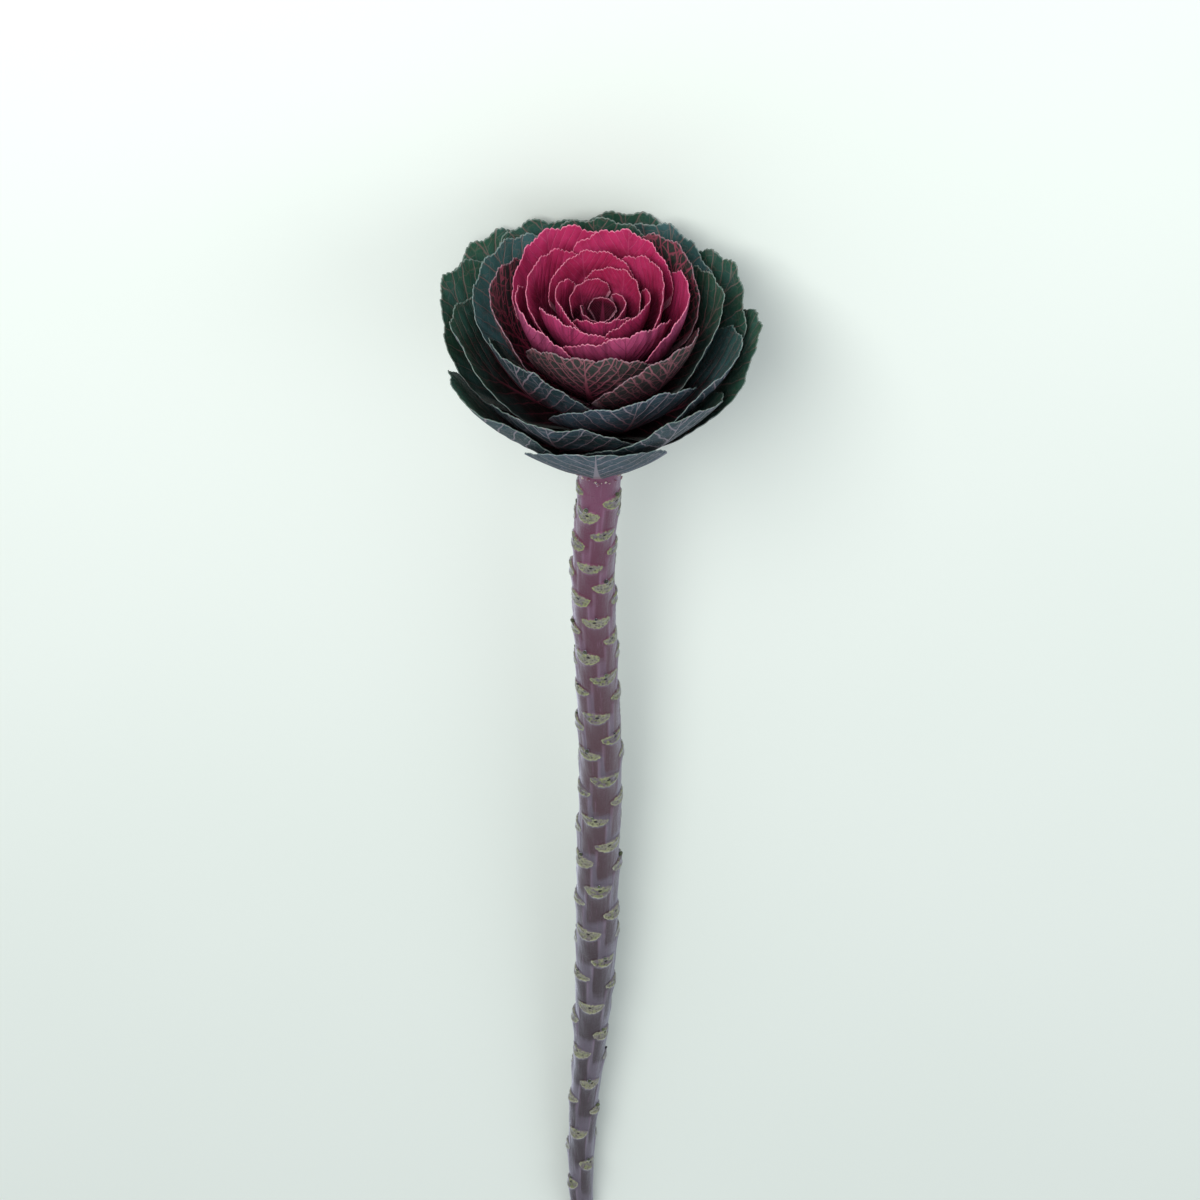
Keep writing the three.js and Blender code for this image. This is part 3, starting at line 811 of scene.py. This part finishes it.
def build_stalk(name, sizes, materials):
    """The stalk and its core as rings round a swaying line, with a rounded edge at the cut, a cut face of
    rings that shrink to its middle, and the small knobs set into its bark."""
    sides = STALK_SIDES
    azimuth = np.linspace(0, 2 * math.pi, sides, endpoint=False)[None, :]
    below = np.linspace(STALK_LENGTH, 0, STALK_RINGS)[:, None]
    relief = bark_relief(below + 0 * azimuth, azimuth + 0 * below, sizes)
    height, depth, lip, bud, trace, ridge_glint, panel = relief
    fade = smooth_step(0, 5, below)
    end = smooth_step(0, 0.8, STALK_LENGTH - below)
    bare = smooth_line(STALK_RADII, below / KEY_SPACING)
    uneven = 0.12 * np.sin(azimuth * 5 + below * 0.11) * np.sin(below * 0.23 + 1.7 * np.sin(azimuth * 2))
    radius = bare - CUT_ROUNDING * (1 - end) + (height + uneven) * fade * end
    sway = smooth_line(STALK_SWAY, below / KEY_SPACING)
    stalk = place(-below, radius, azimuth, sway)
    rise = np.linspace(0.8, CORE_HEIGHT, CORE_RINGS + 1)[:-1, None]
    narrow = core_radius(rise) * np.sqrt(np.clip((CORE_HEIGHT - rise) / 2.0, 0, 1))
    core = place(rise, narrow, azimuth)
    share = np.linspace(0, 1, CUT_RINGS + 2)[1:-1, None] ** 0.8
    cut_radius = (STALK_RADII[-1] - CUT_ROUNDING) * share
    cut = place(-float(STALK_LENGTH), cut_radius, azimuth, STALK_SWAY[-1])
    middle = place(-float(STALK_LENGTH), 0.0, 0.0, STALK_SWAY[-1])
    tip = place(float(CORE_HEIGHT), 0.0, 0.0)
    tube = [cut.reshape(-1, 3), stalk.reshape(-1, 3), core.reshape(-1, 3)]
    points = np.concatenate(tube + [middle[None], tip[None]])
    quads, fans = tube_faces(len(cut) + len(stalk) + len(core), sides)
    knob_quads, knob_fans = tube_faces(KNOB_RINGS, KNOB_SIDES)
    eggs = knob_points(KNOB_RINGS, KNOB_SIDES)
    first = len(points) + np.arange(len(eggs))[:, None, None] * eggs.shape[1]
    knob_quads = (knob_quads[None] + first).reshape(-1, 4)
    knob_fans = (knob_fans[None] + first).reshape(-1, 3)
    points = np.concatenate([points, eggs.reshape(-1, 3)])
    on_cut = [np.arange(len(quads)) < len(cut) * sides, np.zeros(len(knob_quads), dtype=bool)]
    on_cut += [np.arange(len(fans)) < sides, np.zeros(len(knob_fans), dtype=bool)]

    def over_all(cut_value, stalk_value, core_value, knob_value=0.0):
        """One value for every point, in the order of the rings, the two end points and the knobs."""
        shares = ((cut_value, cut), (stalk_value, stalk), (core_value, core))
        parts = [np.broadcast_to(value, (len(rings), sides)).ravel() for value, rings in shares]
        knob_part = np.broadcast_to(knob_value, eggs.shape[:2])
        return np.concatenate(parts + [[0.0, 0.0], knob_part.ravel()])

    wide = STALK_RADII[0] * np.cos(azimuth)
    deep = STALK_RADII[0] * np.sin(azimuth)
    rows = knobs()
    heights = (STALK_LENGTH, below, -rise, rows[:, 1:2])
    table = {
        "scars": [(-3, depth, -3, -3), (3, bud, 3, 3), (3, trace, 3, 3)],
        "skin": [(0, wide, wide, 3 * rows[:, :1]), heights, (0, deep, deep)],
        "panels": [(0, panel, 0), (0, ridge_glint, 0), (3, lip, 3, 3)],
        "knobs": [(0, 0, 0, rows[:, -1:]), (0, 0, 0, 1 - rows[:, -1:]), (0, 0, 0)],
        "around": [(0, 0, 0), (share, 1, 1), (azimuth, azimuth, azimuth)],
    }
    attributes = {}
    for key, parts in table.items():
        attributes[key] = np.stack([over_all(*part) for part in parts], axis=-1)
    faces = [quads, knob_quads, fans, knob_fans]
    return make_mesh(name, points, faces, attributes, materials, np.concatenate(on_cut))


# ---------------------------------------------------------------- settings


def colour_property(name, description, code):
    """A colour, given as hex, as a setting."""
    return bpy.props.FloatVectorProperty(
        name=name, description=description, subtype="COLOR", size=4, min=0, max=1, default=colour(code)
    )


def power_property(name, description, watts):
    """A lamp power in watts, as a setting."""
    return bpy.props.FloatProperty(
        name=name, description=description, unit="POWER", subtype="POWER", min=0, default=watts
    )


def length_property(name, description, millimetres):
    """A length that is given in millimetres and kept in metres, as a setting."""
    return bpy.props.FloatProperty(
        name=name, description=description, unit="LENGTH", subtype="DISTANCE", min=0, default=millimetres * MM
    )


class KaleSizes(bpy.types.PropertyGroup):
    """The sizes of the fine relief on the leaves and the stalk"""

    tooth_depth: length_property("Tooth depth", "How deep the teeth are cut into a leaf's rim", 1.0)
    quilt_depth: length_property("Quilt depth", "How far a blade bulges between its side veins", 0.28)
    groove_depth: length_property("Midrib groove", "How deep the midrib's groove is on the upper face", 0.25)
    ridge_height: length_property("Bark ridges", "How far the ridges under a scar stand out", 0.4)
    bud_depth: length_property("Bud depth", "How deep the bud at the top of a scar sits", 0.5)


class GreenLeafColours(bpy.types.PropertyGroup):
    """The colours of the green leaves, on the face towards the heart and on the face away from it"""

    # The upper foot colour is near black: painted shade of the hollows between the leaves.
    upper_low: colour_property("Upper foot", "The upper face towards its foot", "#0f080c")
    upper_mid: colour_property("Upper middle", "The upper face in its middle", "#14322a")
    upper_high: colour_property("Upper tip", "The upper face near its rim", "#27543f")
    upper_heart: colour_property("Upper heart", "The upper face near the innermost leaves' rims", "#27543f")
    upper_patch: colour_property("Upper bloom", "The upper face where the waxy bloom lies", "#3c6068")
    upper_vein: colour_property("Upper veins", "The upper face on its veins", "#856e6a")
    upper_vein_low: colour_property("Upper vein feet", "The upper face's veins towards the foot", "#86384c")
    upper_rim_colour: colour_property("Upper rim line", "The thin line round the upper face", "#8f9a96")
    # The under foot colour is near black: painted shade where the leaf in front shadows the under face.
    under_low: colour_property("Under foot", "The under face towards its foot", "#2a141f")
    under_mid: colour_property("Under middle", "The under face in its middle", "#1a3133")
    under_high: colour_property("Under tip", "The under face near its rim", "#29484a")
    under_heart: colour_property("Under heart", "The under face near the innermost leaves' rims", "#3f5f60")
    under_patch: colour_property("Under bloom", "The under face where the waxy bloom lies", "#44576a")
    under_vein: colour_property("Under veins", "The under face on its veins", "#8c8690")
    under_vein_low: colour_property("Under vein feet", "The under face's veins towards the foot", "#7d3a4c")
    under_rim_colour: colour_property("Under rim line", "The thin line round the under face", "#9a94a4")


class BlushLeafColours(bpy.types.PropertyGroup):
    """The colours of the blush leaves, on the face towards the heart and on the face away from it"""

    # The upper foot colour is near black: painted shade of the hollows between the leaves.
    upper_low: colour_property("Upper foot", "The upper face towards its foot", "#1b0710")
    upper_mid: colour_property("Upper middle", "The upper face in its middle", "#161f1b")
    upper_high: colour_property("Upper tip", "The upper face near its rim", "#2b4139")
    upper_heart: colour_property("Upper heart", "The upper face near the innermost leaves' rims", "#2b4139")
    upper_patch: colour_property("Upper bloom", "The upper face where the waxy bloom lies", "#33242e")
    upper_vein: colour_property("Upper veins", "The upper face on its veins", "#96485a")
    upper_vein_low: colour_property("Upper vein feet", "The upper face's veins towards the foot", "#8a2c48")
    upper_rim_colour: colour_property("Upper rim line", "The thin line round the upper face", "#b08a98")
    # The under foot colour is near black: painted shade where the leaf in front shadows the under face.
    under_low: colour_property("Under foot", "The under face towards its foot", "#2c0c1c")
    under_mid: colour_property("Under middle", "The under face in its middle", "#2c2a2c")
    under_high: colour_property("Under tip", "The under face near its rim", "#33443c")
    under_heart: colour_property("Under heart", "The under face near the innermost leaves' rims", "#33443c")
    under_patch: colour_property("Under bloom", "The under face where the waxy bloom lies", "#46303e")
    under_vein: colour_property("Under veins", "The under face on its veins", "#96606a")
    under_vein_low: colour_property("Under vein feet", "The under face's veins towards the foot", "#8f3a54")
    under_rim_colour: colour_property("Under rim line", "The thin line round the under face", "#b59aa4")


class RoseLeafColours(bpy.types.PropertyGroup):
    """The colours of the rose leaves, on the face towards the heart and on the face away from it"""

    # The upper foot colour is near black: painted shade of the hollows between the leaves.
    upper_low: colour_property("Upper foot", "The upper face towards its foot", "#2c0512")
    upper_mid: colour_property("Upper middle", "The upper face in its middle", "#911640")
    upper_high: colour_property("Upper tip", "The upper face near its rim", "#b52c60")
    upper_heart: colour_property("Upper heart", "The upper face near the innermost leaves' rims", "#a31c4a")
    upper_patch: colour_property("Upper bloom", "The upper face where the waxy bloom lies", "#c03a70")
    upper_vein: colour_property("Upper veins", "The upper face on its veins", "#cf6c92")
    upper_vein_low: colour_property("Upper vein feet", "The upper face's veins towards the foot", "#b03a66")
    upper_rim_colour: colour_property("Upper rim line", "The thin line round the upper face", "#dc9cb2")
    # The under foot colour is near black: painted shade where the leaf in front shadows the under face.
    under_low: colour_property("Under foot", "The under face towards its foot", "#2f0b1c")
    under_mid: colour_property("Under middle", "The under face in its middle", "#84264e")
    under_high: colour_property("Under tip", "The under face near its rim", "#b0527a")
    under_heart: colour_property("Under heart", "The under face near the innermost leaves' rims", "#ae2459")
    under_patch: colour_property("Under bloom", "The under face where the waxy bloom lies", "#a03a6a")
    under_vein: colour_property("Under veins", "The under face on its veins", "#6a2742")
    under_vein_low: colour_property("Under vein feet", "The under face's veins towards the foot", "#4a1428")
    under_rim_colour: colour_property("Under rim line", "The thin line round the under face", "#dca6b8")


class StalkColours(bpy.types.PropertyGroup):
    """The colours of the stalk's bark, scars, buds, stubs and cut end"""

    front_top: colour_property("Panel at the head", "The flat panels under scars near the head", "#5a2840")
    front_middle: colour_property("Panel in the middle", "The flat panels halfway down the stalk", "#4a3037")
    front_foot: colour_property("Panel at the foot", "The flat panels near the cut end", "#2f2327")
    flank_top: colour_property("Flank at the head", "The bark between the panels near the head", "#6b3b55")
    flank_foot: colour_property("Flank at the foot", "The bark between panels near the cut end", "#57505c")
    fibre: colour_property("Fibres", "Pale streaks along the bark", "#86687f")
    speck: colour_property("Specks", "Dark specks on the bark", "#3a2530")
    # Pale painted highlight on the ridges.
    ridge_glint: colour_property("Ridges", "The ridges that run down from the corners of a scar", "#a58ba6")
    scar_grey: colour_property("Scar grey", "Mauve grey patches in the scars", "#5d5260")
    scar_olive: colour_property("Scar olive", "Olive patches in the scars", "#70764e")
    scar_dry: colour_property("Scar dry", "Dry patches in the scars", "#8a8b72")
    scar_dark: colour_property("Scar dark", "Dark specks in the scars", "#3a3733")
    lip_top: colour_property("Lip at the head", "The edge of the scars near the head", "#8a9460")
    lip_foot: colour_property("Lip at the foot", "The edge of the scars near the cut end", "#a2a48e")
    trace: colour_property("Traces", "Three dots in a scar where sap ran", "#2c2622")
    # Painted shade: near black in the bud pits.
    pit_shade: colour_property("Bud pit", "The pit at the top of a scar", "#120d0d")
    bud: colour_property("Bud", "The small buds over the scars", "#1c1a1a")
    bud_tip: colour_property("Bud patches", "Green patches on the small buds", "#4c5638")
    stub_skin: colour_property("Stub skin", "The skin of the torn stubs", "#7c4f5e")
    stub_torn: colour_property("Stub core", "The torn flesh of the stubs", "#b9aa9e")
    pith: colour_property("Pith", "The middle of the cut end", "#dcdcc0")
    wood: colour_property("Wood", "The wood of the cut end", "#b9c08f")
    ray: colour_property("Rays", "The rays in the wood of the cut end", "#9aa36f")
    cut_skin: colour_property("Cut skin", "The skin ring of the cut end", "#7f8f55")


class StageLooks(bpy.types.PropertyGroup):
    """The floor's colour and the strength of the light"""

    floor: colour_property("Floor", "The studio floor", "#dfe8e1")
    key_power: power_property("Key lamp", "The power of the soft lamp over the head", 24)
    fill_power: power_property("Fill lamp", "The power of the soft lamp at the side", 6)


def add_leaves(context, kind_name, colours):
    """Build the leaves of one kind and put each in the place of its frame node."""
    materials = leaf_materials(kind_name, colours)
    for number in range(LEAF_COUNT):
        kind = kind_of(number)
        if kind["name"] == kind_name:
            node = "%s_%02d" % (kind_name, number - kind["first"] + 1)
            piece = build_leaf(number, "fine_" + node, context.scene.kale_sizes, materials)
            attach(piece, "root")
            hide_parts(node)


class KALE_OT_green_leaves(bpy.types.Operator):
    """Build the green outer leaves again on a fine grid"""

    bl_idname = "kale.green_leaves"
    bl_label = "Green leaves"

    def execute(self, context):
        """Build them in the frame's places."""
        add_leaves(context, "green_leaf", context.scene.kale_green)
        return {"FINISHED"}


class KALE_OT_blush_leaves(bpy.types.Operator):
    """Build the dark leaves between the green and the rose ones again on a fine grid"""

    bl_idname = "kale.blush_leaves"
    bl_label = "Blush leaves"

    def execute(self, context):
        """Build them in the frame's places."""
        add_leaves(context, "blush_leaf", context.scene.kale_blush)
        return {"FINISHED"}


class KALE_OT_rose_leaves(bpy.types.Operator):
    """Build the rose leaves of the heart again on a fine grid"""

    bl_idname = "kale.rose_leaves"
    bl_label = "Rose leaves"

    def execute(self, context):
        """Build them in the frame's places."""
        add_leaves(context, "rose_leaf", context.scene.kale_rose)
        return {"FINISHED"}


class KALE_OT_stalk(bpy.types.Operator):
    """Build the stalk again with its scars, buds, ridges, stubs and cut end"""

    bl_idname = "kale.stalk"
    bl_label = "Stalk"

    def execute(self, context):
        """Build it in the frame's place."""
        colours = context.scene.kale_stalk
        materials = [bark_material(colours), cut_material(colours)]
        piece = build_stalk("fine_stem", context.scene.kale_sizes, materials)
        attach(piece, "root")
        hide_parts("stem")
        return {"FINISHED"}


def lamp(name, direction, distance, size, power, tint):
    """An area lamp that looks at the heart of the head from a direction."""
    heart = Vector((JOINT + HEART_HEIGHT * AHEAD) * MM)
    light = bpy.data.lights.new(name, "AREA")
    light.shape = "DISK"
    light.size = size
    light.energy = power
    light.color = tint
    held = bpy.data.objects.new(name, light)
    bpy.context.scene.collection.objects.link(held)
    towards = Vector(direction).normalized()
    held.location = heart + distance * towards
    held.rotation_euler = towards.to_track_quat("Z", "Y").to_euler()
    return held


class KALE_OT_stage(bpy.types.Operator):
    """Set up the floor, the soft studio light and the camera"""

    bl_idname = "kale.stage"
    bl_label = "Stage"

    def execute(self, context):
        """Put the floor under the part, the lamps round it and the camera where the photograph has it."""
        looks = context.scene.kale_stage
        signs = [(-1, -1), (1, -1), (1, 1), (-1, 1)]
        corners = [(x * FLOOR_HALF, y * FLOOR_HALF, -FLOOR_DROP) for x, y in signs]
        mesh = bpy.data.meshes.new("studio_floor")
        mesh.from_pydata(corners, [], [(0, 1, 2, 3)])
        floor = bpy.data.objects.new("studio_floor", mesh)
        mesh.materials.append(floor_material(looks.floor))
        context.scene.collection.objects.link(floor)

        world = bpy.data.worlds.new("studio")
        world.use_nodes = True
        world.node_tree.nodes["Background"].inputs["Color"].default_value = (0.93, 0.96, 1.0, 1)
        world.node_tree.nodes["Background"].inputs["Strength"].default_value = 0.6
        context.scene.world = world
        context.scene.view_settings.view_transform = "Standard"
        lamp("key", (0.3, -0.75, 0.8), 1.6, 0.9, looks.key_power, (1.0, 0.98, 0.96))
        lamp("fill", (-0.9, -0.1, 0.8), 1.8, 1.4, looks.fill_power, (0.92, 0.96, 1.0))

        heart = JOINT + HEART_HEIGHT * AHEAD
        spot = heart + CAMERA_DISTANCE * (math.cos(SIGHT_ANGLE) * AHEAD + math.sin(SIGHT_ANGLE) * UP)
        spot[0] += CAMERA_ASIDE
        pitch = SIGHT_ANGLE - math.atan((FRAME_PIXELS / 2 - HEART_PIXEL[1]) / FOCAL_PIXELS)
        back = math.cos(pitch) * AHEAD + math.sin(pitch) * UP
        right = np.array([-1.0, 0.0, 0.0])
        turn = Matrix(np.stack([right, np.cross(back, right), back], axis=-1).tolist())
        camera = bpy.data.objects.new("camera", bpy.data.cameras.new("camera"))
        camera.data.sensor_width = SENSOR_WIDTH
        camera.data.lens = SENSOR_WIDTH * FOCAL_PIXELS / FRAME_PIXELS
        camera.data.clip_end = 20
        camera.matrix_world = Matrix.Translation(Vector(spot * MM)) @ turn.to_4x4()
        context.scene.collection.objects.link(camera)
        context.scene.camera = camera
        return {"FINISHED"}


class KALE_PT_panel(bpy.types.Panel):
    """Lists the steps that build the kale's looks"""

    bl_label = "Kale"
    bl_idname = "KALE_PT_panel"
    bl_space_type = "VIEW_3D"
    bl_region_type = "UI"
    bl_category = "Kale"

    def draw(self, context):
        """A button for each step, and a box with each group of settings."""
        for step in STEPS:
            self.layout.operator(step.bl_idname)
        for key in SETTINGS:
            group = getattr(context.scene, key)
            box = self.layout.box()
            box.label(text=group.bl_rna.description)
            for name in group.__annotations__:
                box.prop(group, name)


STEPS = (KALE_OT_stage, KALE_OT_green_leaves, KALE_OT_blush_leaves, KALE_OT_rose_leaves, KALE_OT_stalk)
SETTINGS = {
    "kale_sizes": KaleSizes, "kale_green": GreenLeafColours, "kale_blush": BlushLeafColours,
    "kale_rose": RoseLeafColours, "kale_stalk": StalkColours, "kale_stage": StageLooks,
}
CLASSES = (*SETTINGS.values(), *STEPS, KALE_PT_panel)


def register():
    """Register the classes and hang the settings on the scene."""
    for entry in CLASSES:
        bpy.utils.register_class(entry)
    for key, group in SETTINGS.items():
        setattr(bpy.types.Scene, key, bpy.props.PointerProperty(type=group))


def unregister():
    """Take the settings and the classes away again."""
    for key in SETTINGS:
        delattr(bpy.types.Scene, key)
    for entry in reversed(CLASSES):
        bpy.utils.unregister_class(entry)


def main():
    """Build the stage and every piece in order."""
    register()
    bpy.ops.kale.stage()
    bpy.ops.kale.green_leaves()
    bpy.ops.kale.blush_leaves()
    bpy.ops.kale.rose_leaves()
    bpy.ops.kale.stalk()


if __name__ == "__main__":
    main()
